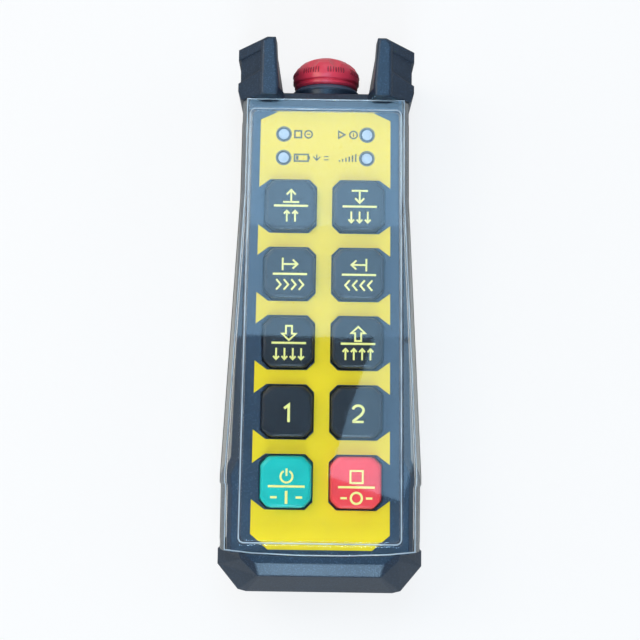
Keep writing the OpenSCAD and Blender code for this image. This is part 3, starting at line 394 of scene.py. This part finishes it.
def sides_of_line(points, width, closed):
    """Left and right points of a line of even width, with mitred corners."""
    count = len(points)
    left, right = [], []
    for i, p in enumerate(points):
        before = points[i - 1] if i or closed else None
        after = points[(i + 1) % count] if i < count - 1 or closed else None
        a = (Vector(p) - Vector(before)).normalized() if before is not None else None
        b = (Vector(after) - Vector(p)).normalized() if after is not None else None
        a, b = a or b, b or a
        across = Vector((-(a + b).y, (a + b).x)).normalized()
        reach = width / 2 / max(MITRE_LIMIT, across.dot(Vector((-a.y, a.x))))
        left.append(Vector(p) + across * reach)
        right.append(Vector(p) - across * reach)
    return left, right


# Print: width of a line, height on a key and on the label, and depth of its sides under the surface
STROKE = 0.62
KEY_PRINT_HEIGHT = 0.09
CAPTION_HEIGHT = 0.02
PRINT_ROOT = 0.05

# Degrees in one step of an arc, and the fewest steps that an arc has
ARC_STEP = 9
ARC_LEAST_STEPS = 10


class Print:
    """Raised print: lines and filled shapes at one height, gathered into one mesh."""

    def __init__(self, x, y, z, height=KEY_PRINT_HEIGHT):
        self.x, self.y, self.z, self.height = x, y, z, height
        self.verts, self.faces = [], []

    def _add(self, pairs, closed):
        """A strip between two rows of points, with its sides down into the surface."""
        base = len(self.verts)
        top, root = self.height, -PRINT_ROOT
        for left, right in pairs:
            for p, z in ((left, top), (right, top), (left, root), (right, root)):
                self.verts.append((self.x + p[0], self.y + p[1], self.z + z))
        count = len(pairs)
        for i in range(count if closed else count - 1):
            a, b = base + 4 * i, base + 4 * ((i + 1) % count)
            self.faces += [(a, a + 1, b + 1, b), (a + 2, a, b, b + 2), (a + 1, a + 3, b + 3, b + 1)]
            self.faces.append((a + 3, a + 2, b + 2, b + 3))
        if not closed:
            last = base + 4 * (count - 1)
            self.faces += [(base, base + 2, base + 3, base + 1), (last, last + 1, last + 3, last + 2)]

    def line(self, points, width=STROKE, closed=False):
        left, right = sides_of_line(points, width, closed)
        self._add(list(zip(left, right)), closed)

    def bar(self, x0, x1, y0, y1):
        self._add([((x0, y1), (x0, y0)), ((x1, y1), (x1, y0))], False)

    def ring(self, radius, width=STROKE, start=0, end=360, cx=0.0, cy=0.0):
        whole = end - start >= 360
        steps = max(ARC_LEAST_STEPS, int((end - start) / ARC_STEP))
        degrees = [start + (end - start) * i / steps for i in range(steps if whole else steps + 1)]
        angles = [math.radians(a) for a in degrees]
        self.line([(cx + radius * math.cos(a), cy + radius * math.sin(a)) for a in angles], width, whole)

    def turned(self, quarter, cx, cy, draw):
        """Draws, and turns what was drawn about (cx, cy) by quarter turns to the left."""
        first = len(self.verts)
        draw()
        c, s = ((1, 0), (0, 1), (-1, 0), (0, -1))[quarter % 4]
        for i in range(first, len(self.verts)):
            x, y, z = self.verts[i]
            dx, dy = x - self.x - cx, y - self.y - cy
            self.verts[i] = (self.x + cx + c * dx - s * dy, self.y + cy + s * dx + c * dy, z)

    def piece(self, name, mat, body, slot):
        mesh_piece(name, self.verts, self.faces, mat, body)


# Quarter turns to the left that bring an upright arrow to each direction
UP, LEFT, DOWN, RIGHT = 0, 1, 2, 3

# How far the wings of an arrow's head fall back, for each unit of their reach to the side
HEAD_SLOPE = 1.05


def arrow(p, quarter, cx, cy, half, head, width=STROKE, foot=0.0):
    """An arrow drawn pointing up and then turned; foot is the half width of a bar at its tail."""
    wing_y = cy + half - head * HEAD_SLOPE

    def draw():
        p.line([(cx, cy - half), (cx, cy + half - width * 0.6)], width)
        p.line([(cx - head, wing_y), (cx, cy + half), (cx + head, wing_y)], width)
        if foot:
            p.bar(cx - foot, cx + foot, cy - half - width / 2, cy - half + width / 2)

    p.turned(quarter, cx, cy, draw)


def block_arrow(p, quarter, cx, cy, half):
    """The outline of a broad arrow."""
    neck, wing, shoulder = half * 0.42, half * 0.98, half * 0.1
    side = [(neck, -half), (neck, shoulder), (wing, shoulder), (0, half)]
    outline = side + [(-x, y) for x, y in side[-2::-1]]
    p.turned(quarter, cx, cy, lambda: p.line([(cx + x, cy + y) for x, y in outline], 0.6, True))


def arrow_row(p, quarter, cy, count, pitch=2.75):
    """Small arrows side by side."""
    for k in range(count):
        arrow(p, quarter, (k - (count - 1) / 2) * pitch, cy, 1.85, 0.95, 0.58)


def chevron_row(p, side, cy, count, pitch=2.5):
    """Tall chevrons side by side that point to one side."""
    for k in range(count):
        cx = (k - (count - 1) / 2) * pitch
        p.line([(cx - side * 0.75, cy + 1.75), (cx + side * 0.75, cy), (cx - side * 0.75, cy - 1.75)])


DIGIT_STROKE = 0.85
DIGIT_FOOT = -3.5


def digit_one(p):
    p.line([(-1.15, 0.95), (0.35, 2.15), (0.35, DIGIT_FOOT)], DIGIT_STROKE)


def digit_two(p):
    angles = [math.radians(170 - 14 * i) for i in range(15)]
    arc = [(0.3 + 1.75 * math.cos(a), 0.72 + 1.5 * math.sin(a)) for a in angles]
    p.line(arc + [(1.3, -0.85), (-1.4, -3.0)], DIGIT_STROKE)
    p.bar(-1.6, 2.15, DIGIT_FOOT, DIGIT_FOOT + 0.75)


def row_1_print(p, is_left, above, below):
    """Arrow from a bar, over two or three small arrows."""
    way = UP if is_left else DOWN
    arrow(p, way, 0, above, 2.05, 1.5, foot=2.7)
    arrow_row(p, way, below, 2 if is_left else 3)


def row_2_print(p, is_left, above, below):
    """Arrow from a bar, over four chevrons."""
    arrow(p, RIGHT if is_left else LEFT, 0, above, 2.45, 1.5, foot=2.1)
    chevron_row(p, 1 if is_left else -1, below, 4)


def row_3_print(p, is_left, above, below):
    """Broad arrow over four small arrows."""
    way = DOWN if is_left else UP
    block_arrow(p, way, 0, above, 2.35)
    arrow_row(p, way, below, 4)


def row_5_print(p, is_left, above, below):
    """On symbols on the left key and off symbols on the right one; the lower one is between two dashes."""
    if is_left:
        p.ring(1.95, STROKE, 118, 422, 0, above - 0.1)
        p.bar(-STROKE / 2, STROKE / 2, above + 0.1, above + 2.5)
        p.bar(-0.42, 0.42, below - 2.1, below + 2.1)
    else:
        foot, top = above - 1.9, above + 2.0
        p.line([(-2.0, foot), (2.0, foot), (2.0, top), (-2.0, top)], STROKE, True)
        p.ring(1.8, 0.72, 0, 360, 0, below)
    for x0 in (-5.2, 3.1):
        p.bar(x0, x0 + 2.1, below - DASH_HALF_WIDTH, below + DASH_HALF_WIDTH)


# Keys: half the pitch of the two columns, the pitch of the rows and the place of the last row
KEY_X = 11.45
KEY_PITCH = 23.0
LAST_ROW = 5
LAST_ROW_Y = -56.0

# Level of the keys' faces, which is higher in the last row
KEY_TOP = 41.2
LAST_KEY_TOP = 41.9

# Print on a key: its shift to the right, and the divider's place over the key's centre and half length
PRINT_X = 0.27
DIVIDER_Y = -0.4
LAST_DIVIDER_Y = -1.45
DIVIDER_HALF_LENGTH = 5.7
LAST_DIVIDER_HALF_LENGTH = 6.0

# Half the width of the divider and of a dash, and how far symbols lie above and below the divider
DASH_HALF_WIDTH = 0.35
SYMBOL_ABOVE = 3.3
SYMBOL_BELOW = 3.55

# Row 4 has plain numbers instead
ROW_PRINTS = {1: row_1_print, 2: row_2_print, 3: row_3_print, 5: row_5_print}


def key_print(row, side, name):
    is_left, is_last = side < 0, row == LAST_ROW
    y = LAST_ROW_Y + (LAST_ROW - row) * KEY_PITCH
    p = Print(side * KEY_X + PRINT_X, y, LAST_KEY_TOP if is_last else KEY_TOP)
    if row in ROW_PRINTS:
        line_y = LAST_DIVIDER_Y if is_last else DIVIDER_Y
        half = LAST_DIVIDER_HALF_LENGTH if is_last else DIVIDER_HALF_LENGTH
        p.bar(-half, half, line_y - DASH_HALF_WIDTH, line_y + DASH_HALF_WIDTH)
        ROW_PRINTS[row](p, is_left, line_y + SYMBOL_ABOVE, line_y - SYMBOL_BELOW)
    elif is_left:
        digit_one(p)
    else:
        digit_two(p)
    body = "key_row%d_%s" % (row, name)
    p.piece("legend_row%d_%s" % (row, name), LEGEND, body, SLOT_OF[body])


for row in range(1, LAST_ROW + 1):
    for side, name in ((-1, "left"), (1, "right")):
        key_print(row, side, name)


# Lenses: half the pitch of the two columns, and the places of the two rows
LENS_X = 14.05
LENS_Y = (60.7, 52.6)

# Level of the label's face
LABEL_Z = 38.25


def print_at_lens(side, y):
    """Print on the label, with its places counted from one lens."""
    return Print(side * LENS_X, y, LABEL_Z, CAPTION_HEIGHT)


def box(p, x0, x1, half=1.15, width=0.55):
    p.line([(x0, -half), (x1, -half), (x1, half), (x0, half)], width, True)


def round_sign(p, cx):
    p.ring(1.25, 0.5, cx=cx)


def caption_print():
    """Plain symbols beside the indicators: stop, start, battery level and signal."""
    top_y, low_y = LENS_Y
    p = print_at_lens(-1, top_y)
    box(p, 3.7, 5.9)
    round_sign(p, 8.3)
    p.bar(7.7, 8.9, -0.17, 0.17)
    p.piece("caption_stop", CAPTION, "housing", "label")

    p = print_at_lens(1, top_y)
    p.line([(-9.6, -1.2), (-7.5, 0), (-9.6, 1.2)], 0.5, True)
    round_sign(p, -4.6)
    p.bar(-4.77, -4.43, -0.7, 0.7)
    p.piece("caption_start", CAPTION, "housing", "label")

    p = print_at_lens(-1, low_y)
    box(p, 3.7, 8.3)
    p.bar(8.5, 8.9, -0.5, 0.5)
    p.bar(4.2, 5.0, -0.7, 0.7)
    p.line([(10.0, 0.5), (11.2, -0.8), (12.4, 0.5)], 0.42)
    p.line([(11.2, 1.2), (11.2, -0.6)], 0.42)
    for k in range(2):
        p.bar(13.6, 15.2, -0.75 + 1.1 * k, -0.4 + 1.1 * k)
    p.piece("caption_battery", CAPTION, "housing", "label")

    p = print_at_lens(1, low_y)
    for k in range(6):
        p.bar(-9.5 + 1.1 * k, -9.0 + 1.1 * k, -1.15, -0.6 + 0.42 * k)
    p.piece("caption_signal", CAPTION, "housing", "label")


def painted_lens_shade_rings():
    """A dark ring round each lens, painted shade at the edge of the lens's hole in the label."""
    for side, side_name in ((-1, "left"), (1, "right")):
        for y, level_name in zip(LENS_Y, ("top", "low")):
            p = print_at_lens(side, y)
            p.ring(2.5, 0.32)
            p.piece("painted_lens_shade_%s_%s" % (side_name, level_name), LENS_SHADE_INK, "housing", "label")


caption_print()
painted_lens_shade_rings()


# Groups of ribs round the stop button's head, with angles in degrees about its axis from +Z towards +X;
# the first group is turned back a little from the middle between two lobes
STOP_AXIS_Z = 20
RIB_GROUPS = 8
RIBS_EACH_SIDE = 3
GROUP_PITCH = 360 / RIB_GROUPS
FIRST_GROUP_ANGLE = GROUP_PITCH / 2 - 5.5
RIB_ANGLE_PITCH = 4.7

# One rib: where it begins along the axis, its size, its depth under the surface, and the shares of
# its length where it is measured, each with its share of the full swell
RIB_Y = 84.6
RIB_LENGTH = 2.2
RIB_HEIGHT = 0.34
RIB_ROOT = 0.1
RIB_END_HALF_WIDTH = 0.12
RIB_EXTRA_HALF_WIDTH = 0.14
RIB_PROFILE = ((0, 0.0), (0.2, 0.75), (0.5, 1.0), (0.8, 0.75), (1, 0.0))

# Start of the rays that find the surface, in metres from the axis
RAY_START = 0.03


def stop_ribs():
    """Groups of short ribs in the hollows of the mushroom head, laid on its surface, in a deeper red as
    painted shade between them.
    """
    head = frame["nodes"]["stop_cap"]
    tree = BVHTree.FromObject(head, bpy.context.evaluated_depsgraph_get())
    verts, faces = [], []
    axis = Vector((0, 0, STOP_AXIS_Z)) * MM

    def on_surface(angle, y):
        out = Vector((math.sin(angle), 0, math.cos(angle)))
        start = axis + Vector((0, y * MM, 0)) + out * RAY_START
        hit, normal, _, _ = tree.ray_cast(start, -out)
        return hit / MM, normal

    def rib_rows(angle):
        """Four points across the rib at each place along it."""
        across = Vector((math.cos(angle), 0, -math.sin(angle)))
        rows = []
        for step, swell in RIB_PROFILE:
            hit, normal = on_surface(angle, RIB_Y + RIB_LENGTH * step)
            wide = RIB_END_HALF_WIDTH + RIB_EXTRA_HALF_WIDTH * swell
            top = hit + normal * (RIB_HEIGHT * swell)
            rows.append([
                hit - across * wide - normal * RIB_ROOT, top - across * wide * 0.5,
                top + across * wide * 0.5, hit + across * wide - normal * RIB_ROOT,
            ])
        return rows

    for group in range(RIB_GROUPS):
        for k in range(-RIBS_EACH_SIDE, RIBS_EACH_SIDE + 1):
            angle = FIRST_GROUP_ANGLE + GROUP_PITCH * group + RIB_ANGLE_PITCH * k
            rows = rib_rows(math.radians(angle))
            base = len(verts)
            for points in rows:
                verts.extend(tuple(p) for p in points)
            for i in range(len(rows) - 1):
                a, b = base + 4 * i, base + 4 * (i + 1)
                faces += [(a + j, a + j + 1, b + j + 1, b + j) for j in range(3)]
                faces.append((a + 3, a, b, b + 3))
            last = base + 4 * (len(rows) - 1)
            faces += [(base + 3, base + 2, base + 1, base), tuple(last + j for j in range(4))]
    mesh_piece("stop_ribs", verts, faces, RIB_SHADE_RED, "stop_head", smooth=True)


stop_ribs()


# A face looks up if its normal's z is over this, and lies at a level if its points are this near
FACES_UP = 0.999
LEVEL_NEAR = 0.03


def flat_loops(obj, level):
    """Closed outlines of a node's flat faces that look up at one height, in millimetres."""
    edges = {}
    for poly in obj.data.polygons:
        points = [obj.matrix_world @ obj.data.vertices[i].co / MM for i in poly.vertices]
        if poly.normal.z < FACES_UP or any(abs(p.z - level) > LEVEL_NEAR for p in points):
            continue
        keys = [(round(p.x, 3), round(p.y, 3)) for p in points]
        for a, b in zip(keys, keys[1:] + keys[:1]):
            if edges.get(b) and a in edges[b]:
                edges[b].remove(a)
            else:
                edges.setdefault(a, []).append(b)
    loops = []
    while any(edges.values()):
        start = next(k for k, v in edges.items() if v)
        loop, here = [start], edges[start].pop()
        while here != start and edges.get(here):
            loop.append(here)
            here = edges[here].pop()
        loops.append(loop)
    return loops


# Sine of the turn that a point has to make to count as a corner
LEAST_TURN = 0.002


def spaced(loop, step=0.25):
    """The loop without points that crowd each other or lie on a straight run."""
    kept = []
    for p in loop:
        if not kept or math.dist(p, kept[-1]) > step:
            kept.append(p)
    sharp = []
    for i, p in enumerate(kept):
        a = (Vector(p) - Vector(kept[i - 1])).normalized()
        b = (Vector(kept[(i + 1) % len(kept)]) - Vector(p)).normalized()
        if abs(a.cross(b)) > LEAST_TURN or a.dot(b) < 0:
            sharp.append(p)
    return sharp


# Beads on the sleeve: name, level of the face that each one edges, and half its width
SLEEVE_BEADS = (("window", 43.4, 0.24), ("face", 39.1, 0.22))

# A bead's points across, its depth under the face, and its rise as a share of half its width
BEAD_POINTS = 6
BEAD_SINK = 0.03
BEAD_RISE_SHARE = 0.75


def sleeve_highlight_beads():
    """A fine rounded bead along the edges of the sleeve's face and of its raised window, coloured as a
    painted highlight.
    """
    sleeve = frame["nodes"]["protective_sleeve"]
    for name, level, radius in SLEEVE_BEADS:
        loops = flat_loops(sleeve, level)
        loop = spaced(max(loops, key=lambda l: max(p[0] for p in l) - min(p[0] for p in l)))
        # The line is 1 wide, so that the step from its right side to its left one is a unit across
        left, right = sides_of_line(loop, 1.0, True)
        verts, faces = [], []
        for a, b in zip(left, right):
            middle, across = (a + b) / 2, a - b
            for k in range(BEAD_POINTS):
                turn = math.pi * k / (BEAD_POINTS - 1)
                spot = middle + across * (radius * (1.0 + math.cos(turn)))
                verts.append((spot.x, spot.y, level - BEAD_SINK + BEAD_RISE_SHARE * radius * math.sin(turn)))
        count = len(left)
        for i in range(count):
            a, b = BEAD_POINTS * i, BEAD_POINTS * ((i + 1) % count)
            for k in range(BEAD_POINTS):
                after = (k + 1) % BEAD_POINTS
                faces.append((a + k, a + after, b + after, b + k))
        mesh_piece("sleeve_highlight_bead_" + name, verts, faces, EDGE_HIGHLIGHT_PAINT, "housing", smooth=True)


sleeve_highlight_beads()


# Studio: pale floor, soft sky and soft lamps, with places and sizes in metres
FLOOR_HALF = 2
FLOOR_Z = -0.0003
WHITE = (1, 1, 1, 1)

# How much of the floor's look is a glow of its own: to the camera, and mirrored or seen through the sleeve
CAMERA_GLOW = 0.78
INDIRECT_GLOW = 0.15


def make_floor():
    """Paper that gives back warm grey light, and that the camera sees nearly white."""
    n = Nodes("floor")
    path = n.add("ShaderNodeLightPath")
    tone = n.ramp(n.noise(3, 2), [(0.3, (0.42, 0.38, 0.33)), (0.7, (0.46, 0.42, 0.37))])
    tone = n.mix(path.outputs["Is Camera Ray"], tone, (0.92, 0.89, 0.87))
    paper = n.surface(Base_Color=tone, Roughness=0.9)
    glow = n.add("ShaderNodeEmission")
    glow.inputs["Color"].default_value = WHITE
    glow.inputs["Strength"].default_value = 1
    seen = n.math("MULTIPLY", path.outputs["Is Camera Ray"], CAMERA_GLOW)
    seen = n.math("MAXIMUM", seen, n.math("MULTIPLY", path.outputs["Is Glossy Ray"], INDIRECT_GLOW))
    seen = n.math("MAXIMUM", seen, n.math("MULTIPLY", path.outputs["Is Transmission Ray"], INDIRECT_GLOW))
    either = n.add("ShaderNodeMixShader")
    n.link(seen, either.inputs["Fac"])
    n.link(paper.outputs["BSDF"], either.inputs[1])
    n.link(glow.outputs["Emission"], either.inputs[2])
    n.link(either.outputs["Shader"], n.out.inputs["Surface"])
    corners = [(-1, -1), (1, -1), (1, 1), (-1, 1)]
    mesh = bpy.data.meshes.new("floor")
    mesh.from_pydata([(x * FLOOR_HALF, y * FLOOR_HALF, FLOOR_Z) for x, y in corners], [], [(0, 1, 2, 3)])
    mesh.materials.append(n.mat)
    floor = bpy.data.objects.new("floor", mesh)
    bpy.context.collection.objects.link(floor)


def make_world():
    """Sky that darkens overhead. It is white to the camera, and low down also through the sleeve."""
    world = bpy.data.worlds.new("world")
    bpy.context.scene.world = world
    world.use_nodes = True
    tree = world.node_tree
    back = tree.nodes["Background"]

    def add(kind, **values):
        node = tree.nodes.new(kind)
        for key, value in values.items():
            setattr(node, key, value)
        return node

    direction = add("ShaderNodeSeparateXYZ")
    tree.links.new(add("ShaderNodeTexCoord").outputs["Generated"], direction.inputs["Vector"])
    height = add("ShaderNodeValToRGB")
    low, high = height.color_ramp.elements
    low.position, low.color = 0.40, (0.53, 0.55, 0.58, 1)
    high.position, high.color = 0.88, (0.06, 0.075, 0.10, 1)
    tree.links.new(direction.outputs["Z"], height.inputs["Fac"])
    light_path = add("ShaderNodeLightPath")
    beside = add("ShaderNodeMapRange")
    beside.inputs["From Min"].default_value = 0.55
    beside.inputs["From Max"].default_value = 0.35
    tree.links.new(direction.outputs["Z"], beside.inputs["Value"])
    through = add("ShaderNodeMath", operation="MULTIPLY")
    tree.links.new(light_path.outputs["Is Transmission Ray"], through.inputs[0])
    tree.links.new(beside.outputs["Result"], through.inputs[1])
    either = add("ShaderNodeMath", operation="MAXIMUM")
    tree.links.new(light_path.outputs["Is Camera Ray"], either.inputs[0])
    tree.links.new(through.outputs["Value"], either.inputs[1])
    tint = add("ShaderNodeMix", data_type="RGBA")
    tint.inputs[7].default_value = WHITE
    tree.links.new(either.outputs["Value"], tint.inputs["Factor"])
    tree.links.new(height.outputs["Color"], tint.inputs[6])
    tree.links.new(tint.outputs[2], back.inputs["Color"])


def lamp(name, place, aim, size, power, colour, turn=0.0):
    """A rectangular lamp that looks at a point: power in watts, turn in degrees about its own axis."""
    data = bpy.data.lights.new(name, "AREA")
    data.shape = "RECTANGLE"
    data.size, data.size_y = size
    data.energy = power
    data.color = colour
    obj = bpy.data.objects.new(name, data)
    obj.location = place
    aimed = (Vector(aim) - Vector(place)).to_track_quat("-Z", "Y").to_matrix()
    obj.rotation_euler = (aimed @ Matrix.Rotation(math.radians(turn), 3, "Z")).to_euler()
    bpy.context.collection.objects.link(obj)


WARM, COOL, PALE = (1.0, 0.86, 0.70), (0.40, 0.70, 1.0), (0.78, 0.92, 1.0)
FRONT_BLUE = (0.62, 0.84, 1.0)


def make_lamps():
    """Soft light from all sides, and cool panels above the face."""
    lamp("key", (-0.55, 0.35, 0.85), (0, 0, 0.02), (0.5, 0.5), 3.4, WARM)
    lamp("fill", (0.7, 0.10, 0.5), (0, 0, 0.02), (0.5, 0.4), 0.9, PALE)
    lamp("back", (0.1, 0.75, 0.45), (0, 0.05, 0.02), (0.5, 0.3), 0.9, PALE)
    lamp("front", (0, -0.625, 0.51), (0, -0.08, 0.03), (0.24, 0.10), 2.4, FRONT_BLUE)
    lamp("sky_low", (0, -0.165, 0.62), (0, -0.10, 0), (0.18, 0.05), 0.35, COOL)
    lamp("side", (-0.75, 0.12, 0.42), (0, 0.02, 0.03), (0.4, 0.3), 0.8, PALE)
    lamp("window", (0.005, 0.0875, 0.62), (0.005, 0.0875, 0), (0.20, 0.085), 0.16, COOL)
    lamp("window_top", (0.005, 0.255, 0.62), (0.005, 0.255, 0), (0.24, 0.25), 0.82, COOL)
    lamp("window_side", (0.052, -0.014, 0.62), (0.052, -0.014, 0), (0.058, 0.115), 0.052, COOL, -17.8)


make_floor()
make_world()
make_lamps()
bpy.context.scene.view_settings.view_transform = "Standard"
